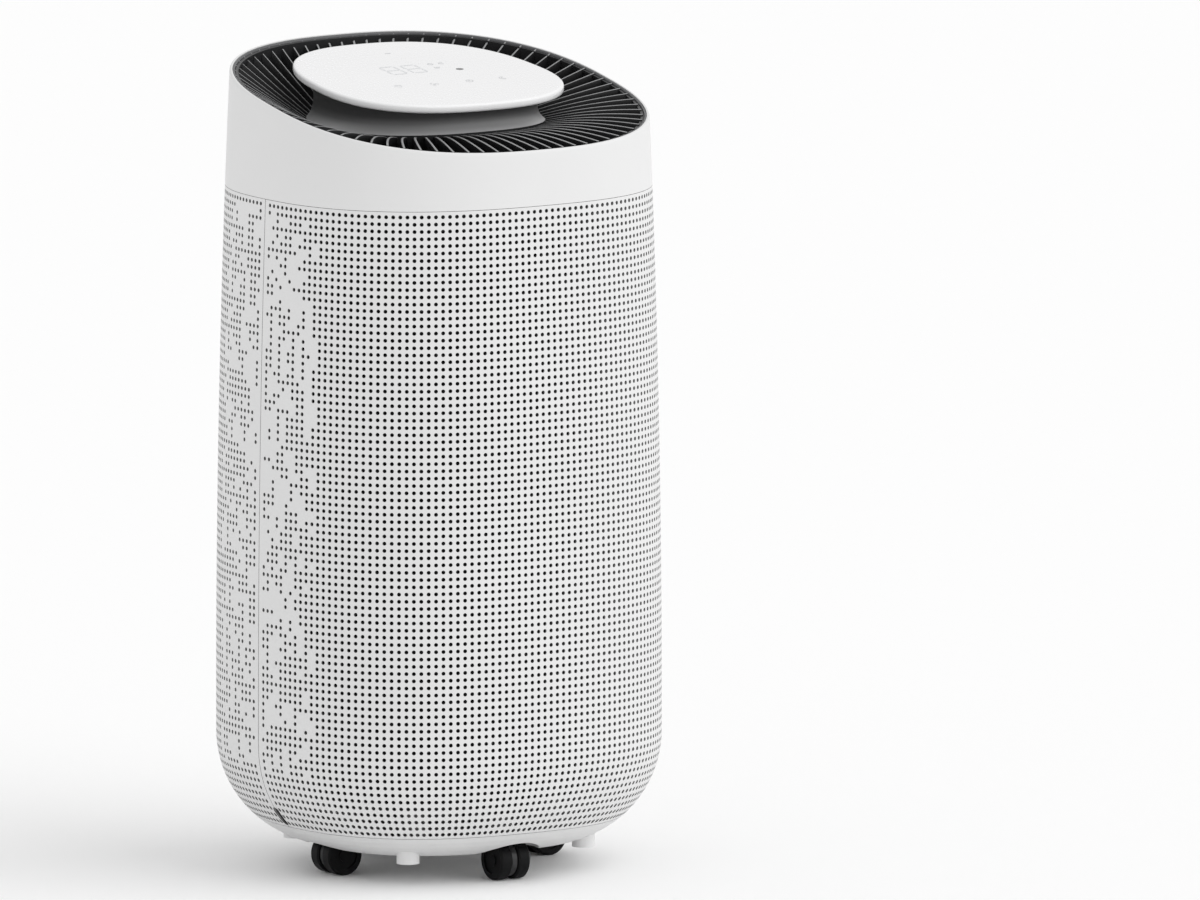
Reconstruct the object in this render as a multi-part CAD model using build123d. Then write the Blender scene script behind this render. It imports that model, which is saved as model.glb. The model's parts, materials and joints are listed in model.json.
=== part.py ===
from build123d import *
import math
import os

os.makedirs("parts", exist_ok=True)

# ------------------------------------------------------------ dimensions (mm)
# +Z up, floor at z = 0, front faces -Y, origin under the middle of the body.
SEC_N = 2.479            # superellipse exponent of every horizontal section
SEC_RATIO = 0.9337       # depth / width of the section
BODY_A = 150.0           # half width at the widest height
BELLY_Z = 115.0          # the sides lean in above this height
LEAN = 4.8e-5            # lean of the sides: a = BODY_A - LEAN * (z - BELLY_Z)^2
BASE_R_Z = 95.0          # the underside curve starts below this height
BASE_DX = 74.6
BASE_DZ = 78.0
BASE_Z0 = 20.0           # underside of the base
BASE_Z1 = 36.0           # upper edge of the base
PANEL_Z0 = 36.3
PANEL_Z1 = 479.7
PANEL_T = 2.2
SEAM_GAP = 0.25          # each half-panel stays this far from the seam plane
COLLAR_Z0 = 480.0
RIM_Z = 545.4            # slanted mouth: z = RIM_Z + RIM_K * y
RIM_K = 0.2018
COLLAR_T = 2.5
RING_OUT = 1.90          # collar wall left outside the rim ring
RING_IN = 3.7            # inner edge of the rim ring, from the outer skin
RING_H = 6.0
SLOT_W = 7.0             # finger slot across each seam
SLOT_Z0 = 37.6
SLOT_Z1 = 51.0

# pod (control head) on the grille
POD_YC = 18.8
POD_A = 91.8
POD_B = 83.6
POD_EGG = 0.075          # wider at the front, narrower at the back
POD_Z = 553.3
POD_K = 0.140
POD_T = 6.0
PED_YC = 21.6
PED_A = 81.0
PED_B = 73.5
FOOT_Z = 527.1           # slanted foot of the pedestal: z = FOOT_Z + FOOT_K * y
FOOT_K = 0.09

# grille
FIN_COUNT = 76
FIN_T = 1.5
FIN_H = 9.0
FIN_DIP = 1.0            # 1: the fins run straight down to the hub
FIN_BOW = 0.03

# casters
SWIVEL_R = 78.0
TRAIL = 7.5
WHEEL_R = 14.0
WHEEL_W = 9.4
WHEEL_IN = 2.6
POCKET_R = 27.5
POCKET_Z = 34.0
STEM_R = 3.5
AXLE_R = 2.0
RUN = 0.06               # radial running clearance
POST_R = 8.0
POST_XY = 73.0
POST_Z0 = 15.5

# filters
FIL_W = 184.0
FIL_H = 248.0
FIL_T = 30.0
FIL_Z0 = 64.0
FIL_Y0 = 73.5            # inner face of the filter frame
FIL_RAIL = 7.0

# fan
FAN_R = 93.0
SHROUD_R = 121.0
SHROUD_T = 2.5
SHROUD_Z0 = 320.2
SHROUD_Z1 = 479.6
BELL_R = 70.0


# ------------------------------------------------------------ helpers
def half_width(z):
    if z >= BELLY_Z:
        return BODY_A - LEAN * (z - BELLY_Z) ** 2
    if z >= BASE_R_Z:
        return BODY_A
    s = (BASE_R_Z - z) / BASE_DZ
    return BODY_A - BASE_DX * (1.0 - math.sqrt(max(0.0, 1.0 - s * s)))


def sec_point(a, b, th, n=SEC_N):
    c, s = math.cos(th), math.sin(th)
    r = (abs(c / a) ** n + abs(s / b) ** n) ** (-1.0 / n)
    return r * c, r * s


def sec_wire(a, b, zf, yc=0.0, egg=0.0, n=SEC_N, count=24):
    pts = []
    for i in range(count):
        th = 2 * math.pi * (i + 0.5) / count
        x, y = sec_point(a, b, th, n)
        x *= 1.0 - egg * (y / b)
        y += yc
        pts.append(Vector(x, y, zf(y)))
    return Wire([Edge.make_spline(pts, periodic=True)])


def body_loft(z_list, inset=0.0):
    """Solid with the outer skin of the body, moved in by inset."""
    wires = []
    for z in z_list:
        a = half_width(z) - inset
        wires.append(sec_wire(a, (half_width(z) * SEC_RATIO) - inset, lambda y, z=z: z))
    return Solid.make_loft(wires, True)


def plane_loft(levels, yc=0.0, egg=0.0):
    """Loft through (a, b, z0, slope) sections lying in slanted planes."""
    wires = []
    for a, b, z0, k in levels:
        wires.append(sec_wire(a, b, lambda y, z0=z0, k=k: z0 + k * (y - yc), yc, egg))
    return Solid.make_loft(wires, True)


def slab_above(z0, k, top=900.0):
    """Everything above the plane z = z0 + k*y (wide prism along X)."""
    y = 400.0
    pts = [(-y, z0 - k * y), (y, z0 + k * y), (y, top), (-y, top)]
    face = Plane.YZ * Polygon(*pts, align=None)
    return extrude(face, 400, both=True)


def box(x0, x1, y0, y1, z0, z1):
    return Pos((x0 + x1) / 2, (y0 + y1) / 2, (z0 + z1) / 2) * Box(x1 - x0, y1 - y0, z1 - z0)


def cyl(r, z0, z1, x=0.0, y=0.0):
    return Pos(x, y, (z0 + z1) / 2) * Cylinder(r, z1 - z0)


def cyl_y(r, y0, y1, x=0.0, z=0.0):
    return Pos(x, (y0 + y1) / 2, z) * Rot(90, 0, 0) * Cylinder(r, y1 - y0)


def cyl_x(r, x0, x1, y=0.0, z=0.0):
    return Pos((x0 + x1) / 2, y, z) * Rot(0, 90, 0) * Cylinder(r, x1 - x0)


def group(items):
    return Compound(children=[i for s in items for i in (s.solids() if hasattr(s, "solids") else [s])])


def save(shape, name):
    solids = shape.solids()
    out = solids[0] if len(solids) == 1 else Compound(children=list(solids))
    export_step(out, "parts/%s.step" % name)
    print(name, len(solids), round(sum(s.volume for s in solids) / 1000.0, 2), "cm3", flush=True)


def screw_z(x, y, z_head, down=True, r=2.0, length=12.0, head_r=3.6, head_h=2.4):
    """Pan-head screw whose head sits on z_head; down: the shank points down."""
    s = -1 if down else 1
    shank = cyl(r, min(z_head, z_head + s * length), max(z_head, z_head + s * length), x, y)
    head = cyl(head_r, min(z_head, z_head - s * head_h), max(z_head, z_head - s * head_h), x, y)
    zt = z_head - s * head_h
    cross = box(x - 2.0, x + 2.0, y - 0.4, y + 0.4, min(zt, zt + s * 1.2), max(zt, zt + s * 1.2))
    cross += box(x - 0.4, x + 0.4, y - 2.0, y + 2.0, min(zt, zt + s * 1.2), max(zt, zt + s * 1.2))
    return (shank + head) - cross


# ------------------------------------------------------------ body skins
low_z = [22.0, 24.5, 28.0, 32.0]
skin_low = body_loft([BASE_Z0] + low_z + [BASE_Z1])
skin_low_in = body_loft([BASE_Z0 + 3.0, 25.0, 28.0, 32.0, BASE_Z1 + 2], 2.5)
pan_z = [40, 45, 51, 59, 69, 80, 95, 115, 240, 360]
skin_pan = body_loft([PANEL_Z0] + pan_z + [PANEL_Z1])
skin_pan_in = body_loft([PANEL_Z0 - 2] + pan_z + [PANEL_Z1 + 5], PANEL_T)

# ------------------------------------------------------------ base tray
swivels = {"front": (0.0, -SWIVEL_R), "rear": (0.0, SWIVEL_R),
           "left": (-SWIVEL_R, 0.0), "right": (SWIVEL_R, 0.0)}
BUSH_R = 5.6
CH_POSTS = [(-55, -55), (55, -55), (-55, 55), (55, 55)]
keep = [cyl(POCKET_R + 2.5, BASE_Z0, BASE_Z1 + 10, x, y) for x, y in swivels.values()]
keep.append(box(-66, -38, 62, 130, BASE_Z0, BASE_Z1 + 10))
keep += [cyl(8.0, BASE_Z0 + 1, 60.0, x, y) for x, y in CH_POSTS]
for x, y in ((-30, 0), (30, 0), (0, 30), (0, -30)):
    keep.append(box(x - 26, x + 26, y - 1.2, y + 1.2, BASE_Z0 + 1, 30) if x == 0
                else box(x - 1.2, x + 1.2, y - 26, y + 26, BASE_Z0 + 1, 30))
inner = skin_low_in.cut(*keep)
tray = Part() + skin_low - inner
for x, y in swivels.values():
    tray += cyl(8.0, BASE_Z1 - 1, 46.0, x, y)
for x, y in CH_POSTS:
    tray += cyl(8.0, BASE_Z1 - 4, 55.8, x, y)
cut = [cyl(POCKET_R, BASE_Z0 - 5, POCKET_Z, x, y) for x, y in swivels.values()]
cut += [cyl(BUSH_R, POCKET_Z - 1, 60, x, y) for x, y in swivels.values()]
cut += [cyl(2.0, 42.0, 60.0, x, y) for x, y in CH_POSTS]
cut.append(box(-62.2, -41.8, 67.0, 140, 22.8, 34.4))
cut.append(box(-56.8, -47.2, 64.4, 70, 24.8, 32.4))
tray = tray.cut(*cut)
tray = max(tray.solids(), key=lambda q: q.volume)
posts_raw = [cyl(POST_R, POST_Z0, 32.0, sx * POST_XY, sy * POST_XY) for sx in (-1, 1) for sy in (-1, 1)]
posts_raw = [p - box(-300, 300, -300, 300, -10, POST_Z0) for p in posts_raw]
save(tray, "base_tray")
foot = []
for p in posts_raw:
    q = p - box(-300, 300, -300, 300, 36, 40) - skin_low
    foot += [s for s in q.solids() if s.bounding_box().min.Z < POST_Z0 + 1]
save(group(foot), "foot_posts")

bushes = []
for x, y in swivels.values():
    b = cyl(BUSH_R, POCKET_Z, 46.0, x, y) + cyl(7.6, 46.0, 47.0, x, y)
    bushes.append(b - cyl(STEM_R + RUN, 30, 50, x, y))
save(group(bushes), "caster_bushes")

# power inlet (two-pin, 8-shaped opening) in the rear left of the base
inlet = box(-62.0, -42.0, 67.2, 88.0, 23.0, 34.2)
inlet -= extrude(Plane.XZ.offset(-88.0) * Pos(-52, 28.6) * SlotOverall(16.4, 8.7), 15)
inlet += box(-56.6, -47.4, 60.2, 67.2, 25.0, 32.2) & box(-80, -20, 64.8, 67.2, 20, 40)
pin_l = cyl_y(1.2, 69.0, 85.0, -56.3, 28.6)
pin_r = cyl_y(1.2, 69.0, 85.0, -47.7, 28.6)
inlet -= cyl_y(1.2, 66.0, 85.0, -56.3, 28.6)
inlet -= cyl_y(1.2, 66.0, 85.0, -47.7, 28.6)
inlet = max(inlet.solids(), key=lambda s: s.volume)
save(inlet, "power_inlet")
save(group([pin_l, pin_r]), "inlet_pins")

# ------------------------------------------------------------ casters
def caster(ang):
    """Parts of a caster, made for the front position and turned about Z."""
    ys, yw = -SWIVEL_R, -SWIVEL_R - TRAIL
    plate = extrude(Plane.YZ * Polygon((yw - 5, 10), (yw + 4, 8.5), (ys + 6.5, 27), (ys + 6.5, 29.2),
                                       (ys - 6.5, 29.2), (yw - 8, 20), align=None), 2.0, both=True)
    plate += cyl_x(12.2, -2.0, 2.0, yw, WHEEL_R)
    fork = plate + cyl(6.4, 28.7, 33.4, 0, ys) + cyl(STEM_R, 33.0, 50.0, 0, ys) + cyl(4.3, 47.4, 49.2, 0, ys)
    fork -= cyl_x(AXLE_R + RUN, -10, 10, yw, WHEEL_R)
    axle = cyl_x(AXLE_R, -WHEEL_IN - WHEEL_W + 2.2, WHEEL_IN + WHEEL_W - 2.2, yw, WHEEL_R)

    def wheel(s):
        x0, x1 = WHEEL_IN, WHEEL_IN + WHEEL_W
        w = cyl_x(WHEEL_R, x0, x1, yw, WHEEL_R)
        w = chamfer(w.edges().filter_by(GeomType.CIRCLE), 1.1)
        w -= cyl_x(9.5, x1 - 1.2, x1 + 2, yw, WHEEL_R)
        w += cyl_x(4.4, x1 - 1.8, x1 - 0.4, yw, WHEEL_R)
        w -= cyl_x(AXLE_R, x0 - 1, x1 - 2.2, yw, WHEEL_R)
        w -= cyl_x(11.0, x0 - 1, x0 + 0.5, yw, WHEEL_R) - cyl_x(4.5, x0 - 2, x0 + 2, yw, WHEEL_R)
        return w if s > 0 else mirror(w, Plane.YZ)

    out = {"fork": fork, "axle": axle, "wheel_a": wheel(-1), "wheel_b": wheel(1)}
    return {k: Rot(0, 0, ang) * v for k, v in out.items()}


for name, ang in (("front", 0), ("rear", 180), ("left", -90), ("right", 90)):
    for k, v in caster(ang).items():
        save(v, "caster_%s_%s" % (name, k))

# ------------------------------------------------------------ half-panels
def slot_cutter(side):
    w = SLOT_W / 2
    x0, x1 = (100, 160) if side > 0 else (-160, -100)
    s = box(x0, x1, -w, w, SLOT_Z0 + w, SLOT_Z1 - w)
    s += cyl_x(w, x0, x1, 0, SLOT_Z0 + w)
    s += cyl_x(w, x0, x1, 0, SLOT_Z1 - w)
    return s


shell = Part() + skin_pan - skin_pan_in
shell -= slot_cutter(1)
shell -= slot_cutter(-1)
front_panel = shell & box(-200, 200, -200, -SEAM_GAP, 0, 600)
rear_panel = shell & box(-200, 200, SEAM_GAP, 200, 0, 600)
save(front_panel, "front_panel")
save(rear_panel, "rear_panel")

LINER_A = 141.0


def straight(a, z0, z1):
    w = sec_wire(a, a * SEC_RATIO, lambda y: z0)
    return Solid.extrude(Face(w), Vector(0, 0, z1 - z0))


liner = straight(LINER_A, 64.0, 464.0) - straight(LINER_A - 1.0, 60.0, 470.0)
save(liner & box(-200, 200, -200, -14.0, 0, 600), "front_prefilter")
save(liner & box(-200, 200, 14.0, 200, 0, 600), "rear_prefilter")

# ------------------------------------------------------------ chassis
CW = 96.0
ch = box(-CW, CW, -103, 103, 56.0, 60.0)
ch += box(-CW, CW, -103, 103, 316.0, 320.0)
ch &= box(-CW, CW, -103, 103, 50, 330)
for s in (-1, 1):
    x0, x1 = sorted((s * 93.0, s * CW))
    ch += box(x0, x1, -103, 103, 56, 320)
for s in (-1, 1):
    y0, y1 = sorted((s * 69.5, s * 72.0))
    ch += box(-94, 94, y0, y1, 58, 318) - box(-84, 84, y0 - 1, y1 + 1, 70, 306)
ch -= cyl(78.0, 310, 330)
for x, y in CH_POSTS:
    ch -= cyl(2.3, 50, 62, x, y)
for x, y in ((-86, -60), (86, -60), (-86, 60), (86, 60)):
    ch += cyl(5.0, 306, 318, x, y)
    ch -= cyl(1.7, 304, 330, x, y)
# catch arms to the panels, at the seams
for s in (-1, 1):
    for z0 in (100, 280):
        x0, x1 = sorted((s * 95.0, s * 135.0))
        ch += box(x0, x1, -22, 22, z0, z0 + 4)
        x0, x1 = sorted((s * 119.0, s * 135.0))
        ch += box(x0, x1, -22, -2, z0 + 3, z0 + 22) + box(x0, x1, 2, 22, z0 + 3, z0 + 22)
save(ch, "chassis")
save(group([screw_z(x, y, 60.0, True, length=14.0, r=1.9) for x, y in CH_POSTS]), "chassis_screws")
catches = []
for sx in (-1, 1):
    for sy in (-1, 1):
        for z0 in (100, 280):
            x0, x1 = sorted((sx * 135.0, sx * 138.0))
            y0, y1 = sorted((sy * 5.0, sy * 19.0))
            catches.append(box(x0, x1, y0, y1, z0 + 6, z0 + 19))
save(group(catches), "panel_catches")

# ------------------------------------------------------------ filters
def filter_set(sy):
    def yb(y0, y1):
        return tuple(sorted((sy * y0, sy * y1)))
    hw = FIL_W / 2
    y0, y1 = yb(FIL_Y0, FIL_Y0 + FIL_T)
    f = box(-hw, hw, y0, y1, FIL_Z0, FIL_Z0 + FIL_H)
    f -= box(-hw + FIL_RAIL, hw - FIL_RAIL, y0 - 1, y1 + 1, FIL_Z0 + FIL_RAIL, FIL_Z0 + FIL_H - FIL_RAIL)
    m0, m1 = yb(FIL_Y0 + 1.5, FIL_Y0 + FIL_T - 1.5)
    # pleated block: a zigzag sheet folded along X
    n = 20
    zz0, zz1 = FIL_Z0 + FIL_RAIL, FIL_Z0 + FIL_H - FIL_RAIL
    p = (zz1 - zz0) / n
    t = 1.6
    top, bot = [], []
    for i in range(n):
        za = zz0 + i * p
        top += [(m0 + 3, za), (m1, za + p / 2)]
        bot += [(m0, za), (m1 - 3, za + p / 2)]
    top.append((m0 + 3, zz1))
    bot.append((m0, zz1))
    prof = Plane.YZ * Polygon(*(top + bot[::-1]), align=None)
    med = extrude(prof, hw - FIL_RAIL, both=True)
    s0, s1 = yb(FIL_Y0 - 1.4, FIL_Y0)
    seal = box(-hw + 0.5, hw - 0.5, s0, s1, FIL_Z0 + 0.5, FIL_Z0 + FIL_H - 0.5)
    seal -= box(-hw + 5.5, hw - 5.5, s0 - 1, s1 + 1, FIL_Z0 + 5.5, FIL_Z0 + FIL_H - 5.5)
    t0, t1 = yb(FIL_Y0 + FIL_T, FIL_Y0 + FIL_T + 2.0)
    tab = box(-14, 14, t0, t1, FIL_Z0 + FIL_H - 30, FIL_Z0 + FIL_H - 1)
    tab -= box(-8, 8, t0 - 1, t1 + 1, FIL_Z0 + FIL_H - 26, FIL_Z0 + FIL_H - 15)
    return {"frame": f, "media": med, "seal": seal, "tab": tab}


for name, sy in (("front", -1), ("rear", 1)):
    for k, v in filter_set(sy).items():
        save(v, "%s_filter_%s" % (name, k))

# ------------------------------------------------------------ fan shroud
sh = cyl(SHROUD_R, SHROUD_Z0, SHROUD_Z1) - cyl(SHROUD_R - SHROUD_T, SHROUD_Z0 - 1, SHROUD_Z1 + 1)
sh += cyl(SHROUD_R, SHROUD_Z0, SHROUD_Z0 + 3) - cyl(78.0, SHROUD_Z0 - 1, SHROUD_Z0 + 5)
flange = straight(half_width(480.0) - 3.4, 476.4, SHROUD_Z1)
sh += flange - cyl(SHROUD_R - SHROUD_T, 470, 490)
for x, y in ((-86, -60), (86, -60), (-86, 60), (86, 60)):
    sh -= cyl(2.0, 318, 330, x, y)
BR_ANG = [45, 135, 225, 315]
for a in BR_ANG:
    c, s = math.cos(math.radians(a)), math.sin(math.radians(a))
    sh += cyl(5.0, 434.0, 446.0, 112.6 * c, 112.6 * s)
    sh += (Rot(0, 0, a) * box(112, 119.5, -5, 5, 434, 446))
    sh -= cyl(1.6, 436.0, 448.0, 112.6 * c, 112.6 * s)
COL_ANG = [(60, 110), (-60, 110), (60, -110), (-60, -110)]
for x, y in COL_ANG:
    sh -= cyl(1.6, 470, 482, x, y)
save(sh, "fan_shroud")
save(group([screw_z(x, y, SHROUD_Z0 + 3, True, length=12.0, r=1.6) for x, y in
            ((-86, -60), (86, -60), (-86, 60), (86, 60))]), "shroud_screws")

bell = revolve(Plane.XZ * Polygon((BELL_R, 341), (BELL_R, 328), (BELL_R + 2.2, 322), (BELL_R + 7.6, 318),
                                  (BELL_R + 7.6, 323.2), (BELL_R + 14.0, 323.2), (BELL_R + 14.0, 325.2),
                                  (BELL_R + 5.0, 325.2), (BELL_R + 2.0, 329), (BELL_R + 2.0, 341), align=None), Axis.Z)
save(bell, "bellmouth_ring")

# ------------------------------------------------------------ impeller and motor
imp = cyl(FAN_R, 343.0, 345.0) - cyl(74.5, 340, 350)
back = revolve(Plane.XZ * Polygon((0, 388), (22, 388), (40, 396), (FAN_R, 400), (FAN_R, 402), (38, 398.5),
                                  (20, 391), (0, 391), align=None), Axis.Z)
imp += back
blade_in, blade_out = 62.0, FAN_R - 0.8
for i in range(11):
    a0 = 360.0 / 11 * i
    pts_o, pts_i = [], []
    for j in range(7):
        u = j / 6
        r = blade_in + (blade_out - blade_in) * u
        th = math.radians(a0 - 34.0 * u ** 1.15)
        pts_o.append((r * math.cos(th), r * math.sin(th)))
        th2 = th + 2.0 / r
        pts_i.append((r * math.cos(th2), r * math.sin(th2)))
    pr = Polygon(*(pts_o + pts_i[::-1]), align=None)
    imp += Pos(0, 0, 344.0) * extrude(pr, 54.2)
imp += cyl(12.0, 380.0, 390.0)
imp -= cyl(4.0, 370, 400)
imp -= (cyl(61.9, 342, 346))
save(imp, "impeller")
shaft = cyl(4.0, 374.0, 430.0)
save(shaft, "motor_shaft")
save(extrude(Pos(0, 0, 373.6) * RegularPolygon(8.0, 6), 6.2) - cyl(4.0, 370, 390), "impeller_nut")

motor = cyl(34.0, 406.0, 438.0)
motor = chamfer(motor.edges().filter_by(GeomType.CIRCLE), 2.0)
motor -= cyl(4.0 + RUN, 400, 432)
for i in range(12):
    a = math.radians(30 * i)
    motor -= cyl(2.2, 436.5, 440, 26 * math.cos(a), 26 * math.sin(a))
save(motor, "motor_body")

br = cyl(40.0, 438.0, 441.0) - cyl(18.0, 430, 450)
br += cyl(40.0, 428.0, 441.0) - cyl(37.2, 420, 438) - cyl(18, 420, 450)
for a in BR_ANG:
    br += Rot(0, 0, a) * box(38, 112.6, -4.0, 4.0, 446.2, 449.2)
    br += Rot(0, 0, a) * box(37.6, 42.0, -4.0, 4.0, 438.0, 449.2)
    c, s = math.cos(math.radians(a)), math.sin(math.radians(a))
    br += cyl(5.0, 446.2, 449.2, 112.6 * c, 112.6 * s)
    br -= cyl(1.9, 440, 452, 112.6 * c, 112.6 * s)
for a in BR_ANG:
    c, s = math.cos(math.radians(a)), math.sin(math.radians(a))
    br -= cyl(1.7, 436, 443, 29.5 * c, 29.5 * s)
save(br, "motor_bracket")
ms = [screw_z(112.6 * math.cos(math.radians(a)), 112.6 * math.sin(math.radians(a)), 449.2, True, length=11.0, r=1.55)
      for a in BR_ANG]
save(group(ms), "bracket_screws")

# ------------------------------------------------------------ collar, rim ring
skin_col = body_loft([474, 540, 606])
skin_col_in = body_loft([472, 540, 608], COLLAR_T)
skin_reb = body_loft([474, 606], RING_OUT)
skin_ring_out = body_loft([474, 606], RING_OUT + 0.15)
skin_ring_in = body_loft([472, 608], RING_IN)
mouth = slab_above(RIM_Z, RIM_K)
col_out = (skin_col & box(-200, 200, -200, 200, COLLAR_Z0, 640)) - mouth
collar = col_out - skin_col_in
collar -= (skin_reb & slab_above(RIM_Z - RING_H, RIM_K))
foot_fl = straight(half_width(COLLAR_Z0) - 1.2, COLLAR_Z0, COLLAR_Z0 + 2.4) - \
    straight(half_width(COLLAR_Z0) - 18.0, 470, 494)
collar += foot_fl
for x, y in COL_ANG:
    collar -= cyl(1.9, 470, 490, x, y)
save(collar, "top_collar")
save(group([screw_z(x, y, COLLAR_Z0 + 2.4, True, length=6.0, r=1.55) for x, y in COL_ANG]), "collar_screws")

ring = (skin_ring_out - skin_ring_in) & slab_above(RIM_Z - RING_H + 0.05, RIM_K)
ring -= slab_above(RIM_Z - 0.5, RIM_K)
ring &= box(-200, 200, -200, 200, 490, 640)
save(ring, "rim_ring")

# ------------------------------------------------------------ outlet grille
gr_out = body_loft([474, 606], RING_IN + 0.3)
gr_in = body_loft([472, 608], RING_IN + 2.2)
g_band = (gr_out - gr_in) & slab_above(RIM_Z - 20.0, RIM_K)
g_band -= slab_above(RIM_Z - 1.6, RIM_K)
g_band &= box(-200, 200, -200, 200, 480, 640)


def ped_pt(th, scale=1.0):
    x, y = sec_point(PED_A * scale, PED_B * scale, th)
    x *= 1.0 - POD_EGG * (y / (PED_B * scale))
    return x, y + PED_YC


def rim_pt(th, inset):
    a = half_width(RIM_Z) - inset
    b = half_width(RIM_Z) * SEC_RATIO - inset
    return sec_point(a, b, th)


SWEEP = math.radians(4.0)


def fin_line(i, steps=5):
    th0 = 2 * math.pi * i / FIN_COUNT
    ox, oy = rim_pt(th0, RING_IN + 1.3)
    ix, iy = ped_pt(th0 + SWEEP, 0.985)
    dx, dy = ix - ox, iy - oy
    ln = math.hypot(dx, dy)
    nx, ny = -dy / ln, dx / ln
    rows = []
    for j in range(steps + 1):
        u = j / steps
        bow = FIN_BOW * ln * 4 * u * (1 - u)
        rows.append((ox + dx * u + nx * bow, oy + dy * u + ny * bow, u))
    return rows


def fin_top(y, u):
    w = u ** FIN_DIP
    return (RIM_Z + RIM_K * y - 1.8) * (1.0 - w) + (FOOT_Z + FOOT_K * y - 1.5) * w


def fin(i):
    rows = fin_line(i)
    left, right = [], []
    n = len(rows)
    for j, (x, y, u) in enumerate(rows):
        xa, ya, _ = rows[max(0, j - 1)]
        xb, yb, _ = rows[min(n - 1, j + 1)]
        tx, ty = xb - xa, yb - ya
        tl = math.hypot(tx, ty)
        px, py = -ty / tl * FIN_T / 2, tx / tl * FIN_T / 2
        left.append((x - px, y - py))
        right.append((x + px, y + py))
    prism = extrude(Pos(0, 0, 480) * Polygon(*(left + right[::-1]), align=None), 120)
    # top and bottom: a slanted facet on each half of the run, seen along the fin
    x0, y0, _ = rows[0]
    x1, y1, _ = rows[-1]
    ln = math.hypot(x1 - x0, y1 - y0)
    ang = math.degrees(math.atan2(y1 - y0, x1 - x0))
    tops = []
    for j in (0, n // 2, n - 1):
        x, y, u = rows[j]
        tops.append((ln * u, fin_top(y, u)))
    e0 = (-6.0, tops[0][1] - 6.0 * (tops[1][1] - tops[0][1]) / (tops[1][0] - tops[0][0]))
    e1 = (ln + 6.0, tops[2][1] + 6.0 * (tops[2][1] - tops[1][1]) / (tops[2][0] - tops[1][0]))
    line = [e0, tops[1], e1]
    prof = Polygon(*(line + [(p[0], p[1] - FIN_H) for p in line[::-1]]), align=None)
    side = Pos(x0, y0, 0) * Rot(0, 0, ang) * extrude(Plane.XZ * prof, 14, both=True)
    return (prism & side).solids()[0]


def ped_sec(scale, dz, k=FOOT_K):
    return (PED_A * scale, PED_B * scale, FOOT_Z + FOOT_K * PED_YC + dz, k)


hub_out = plane_loft([ped_sec(1.0, 0.2), ped_sec(1.0, -6), ped_sec(1.0, -12)],
                     PED_YC, POD_EGG)
hub_in = plane_loft([ped_sec(0.93, 3), ped_sec(0.93, -6), ped_sec(0.93, -15)],
                    PED_YC, POD_EGG)
g_hub = hub_out - hub_in
hub_floor = plane_loft([ped_sec(0.95, -9.6), ped_sec(0.95, -12)], PED_YC, POD_EGG)
grille = g_band.solids()[0].fuse(*([g_hub.solids()[0], hub_floor] + [fin(i) for i in range(FIN_COUNT)]))
save(grille, "outlet_grille")

# ------------------------------------------------------------ pod
def pod_sec(scale, dz, mix=0.0):
    """Section between the slant of the pedestal's foot and that of the cover."""
    k = FOOT_K + (POD_K - FOOT_K) * mix
    return (PED_A * scale, PED_B * scale, dz, k)


zp0 = FOOT_Z + FOOT_K * PED_YC + 0.2           # foot of the pedestal at its middle
zp1 = POD_Z + POD_K * PED_YC - POD_T - 0.0              # underside of the cover there
hgt = zp1 - zp0
lv = [(1.0, 0.0), (0.982, 0.06), (0.962, 0.15), (0.946, 0.28), (0.938, 0.45), (0.942, 0.62), (0.958, 0.8), (0.985, 1.0)]
ped = plane_loft([pod_sec(s, zp0 + hgt * u, u) for s, u in lv], PED_YC, POD_EGG)
lv2 = [(0.95, -0.2), (0.94, 0.06), (0.922, 0.15), (0.906, 0.28), (0.898, 0.45), (0.902, 0.62), (0.918, 0.8), (0.935, 1.2)]
ped_cut = plane_loft([pod_sec(s, zp0 + hgt * u, u) for s, u in lv2], PED_YC, POD_EGG)
pedestal = ped - ped_cut
save(pedestal, "pod_pedestal")


def cov(scale_in, z_off):
    return (POD_A - scale_in, POD_B - scale_in, POD_Z + POD_K * POD_YC + z_off, POD_K)


cover = plane_loft([cov(2.2, -POD_T), cov(0.55, -POD_T + 1.2), cov(0.0, -POD_T + 2.6), cov(0.0, -1.6), cov(0.45, -0.6),
                    cov(1.5, 0.0)], POD_YC, POD_EGG)
cav = plane_loft([cov(16.0, -POD_T - 2), cov(16.0, -2.2)], POD_YC, POD_EGG)
cover -= cav
# window of the light sensor
WIN = (31.2, 21.0)
win_z = POD_Z + POD_K * WIN[1]
cover -= cyl(2.6, win_z - 6, win_z + 6, WIN[0], WIN[1])
cover = max(cover.solids(), key=lambda s: s.volume)
save(cover, "pod_cover")
win = cyl(2.6, win_z - 2.0, win_z + 8, WIN[0], WIN[1]) - slab_above(POD_Z - 0.25, POD_K)
win += cyl(2.6, win_z - 3.6, win_z - 1.6, WIN[0], WIN[1])
save(win, "sensor_window")

brd = plane_loft([(58, 44, POD_Z + POD_K * PED_YC - 7.6, POD_K), (58, 44, POD_Z + POD_K * PED_YC - 6.0, POD_K)], PED_YC, 0.0)
brd_posts = []
for x, y in ((-40, 0), (40, 0), (-40, 42), (40, 42)):
    pz = POD_Z + POD_K * y
    brd_posts.append(cyl(3.0, pz - 7.0, pz - 2.0, x, y))
disp = brd
for p in brd_posts:
    disp += p - slab_above(POD_Z - 2.25, POD_K)
save(disp, "display_board")

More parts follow.
